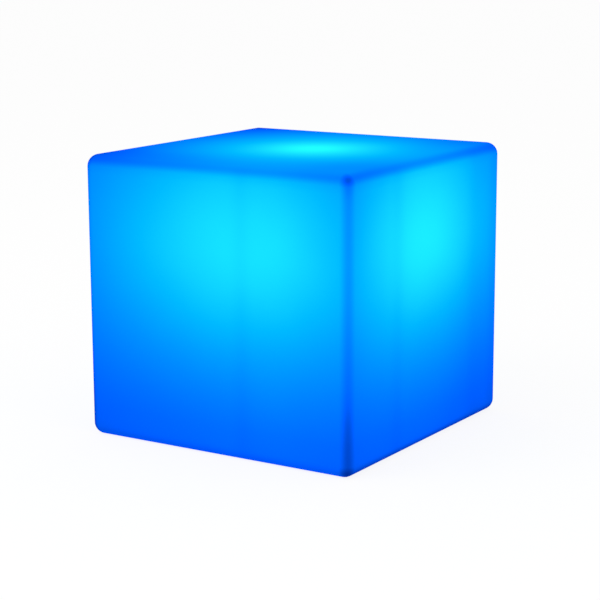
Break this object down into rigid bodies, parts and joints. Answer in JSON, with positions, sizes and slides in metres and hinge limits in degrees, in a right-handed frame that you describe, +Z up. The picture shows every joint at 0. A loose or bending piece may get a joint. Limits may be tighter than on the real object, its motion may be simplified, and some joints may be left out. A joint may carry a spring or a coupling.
{
  "type": "led cube light",
  "caption": "Glowing cube light with rounded edges: hollow translucent shell, and a sealed rechargeable light module screwed into a recess in its underside.",
  "frame": {"origin": "middle of the flat underside that the cube stands on", "axes": "+Z up; -Y towards the face seen wide on the left of the picture (front), +X towards the face seen narrow on its right"},
  "size_m": [0.43, 0.43, 0.4],
  "materials": {
    "translucent_shell": "milky polyethylene, smooth satin, lit from inside in blue",
    "brass": "turned",
    "white_silicone": "soft moulded silicone",
    "stainless": "stainless screws",
    "white_plastic": "fine moulded texture",
    "spreader_aluminium": "plain sheet",
    "white_board": "white solder mask",
    "light_package": "white light package",
    "light_lens": "clear resin lit in blue",
    "dark_resin": "dark infrared resin",
    "tinned_legs": "tinned",
    "opal_cover": "opal polycarbonate",
    "clear_pipe": "clear acrylic",
    "cell_can": "plated can",
    "cell_sleeve": "shrink film",
    "nickel": "nickel strip",
    "grey_plastic": "moulded",
    "green_board": "green solder mask",
    "grey_foam": "closed cell foam",
    "black_component": "moulded epoxy",
    "cream_plastic": "nylon connector",
    "button_plastic": "satin key cap",
    "black_rubber": "soft moulded rubber",
    "spring_steel": "drawn wire",
    "nickel_nut": "plated",
    "red_lead": "insulated lead",
    "black_lead": "insulated lead",
    "white_lead": "insulated leads"
  },
  "bodies": {
    "cube": {"cube_shell": "translucent_shell", "thread_inserts": "brass", "socket_pin": "brass", "socket_contact": "brass", "base_gasket": "white_silicone", "housing_seal_ring": "white_silicone", "mast_seal_ring": "white_silicone", "cover_seal_ring": "white_silicone", "lead_grommet": "white_silicone", "base_screws": "stainless", "housing_screws": "stainless", "mast_screws": "stainless", "cover_screws": "stainless", "light_board_screws": "stainless", "control_board_screws": "stainless", "base_plate": "white_plastic", "module_housing": "white_plastic", "light_mast": "white_plastic", "heat_spreader": "spreader_aluminium", "light_board": "white_board", "light_chips": "light_package", "light_lenses": "light_lens", "status_light": "light_lens", "remote_receiver": "dark_resin", "receiver_legs": "tinned_legs", "chip_legs": "tinned_legs", "switch_pins": "tinned_legs", "light_cover": "opal_cover", "light_pipe": "clear_pipe", "battery_cells": "cell_can", "battery_sleeve": "cell_sleeve", "battery_tabs": "nickel", "battery_cradle": "grey_plastic", "control_board": "green_board", "protection_board": "green_board", "battery_pad": "grey_foam", "controller_chip": "black_component", "driver_transistors": "black_component", "power_coil": "black_component", "switch_housing": "black_component", "charge_socket": "black_component", "storage_capacitor": "black_component", "battery_header": "cream_plastic", "battery_plug": "cream_plastic", "light_header": "cream_plastic", "light_plug": "cream_plastic", "socket_seal_ring": "black_rubber", "cap_anchor": "black_rubber", "switch_spring": "spring_steel", "socket_nut": "nickel_nut", "battery_lead_red": "red_lead", "charge_lead_red": "red_lead", "battery_lead_black": "black_lead", "charge_lead_black": "black_lead", "light_leads": "white_lead"},
    "button": {"power_button": "button_plastic", "button_seal_ring": "black_rubber", "switch_plunger": "button_plastic"},
    "socket_cap": {"socket_cap": "black_rubber"}
  },
  "joints": [
    {"name": "button_press", "type": "slide", "parent": "cube", "child": "button", "axis": [0, 0, 1], "range_m": [0, 0.0015], "stiffness_N_per_m": 900, "springref_m": -0.001, "deforming": ["switch_spring"]},
    {"name": "socket_cap_hinge", "type": "hinge", "parent": "cube", "child": "socket_cap", "pos_m": [-0.03, 0.002, 0.0092], "axis": [0, -1, 0], "range_deg": [0, 125]}
  ]
}
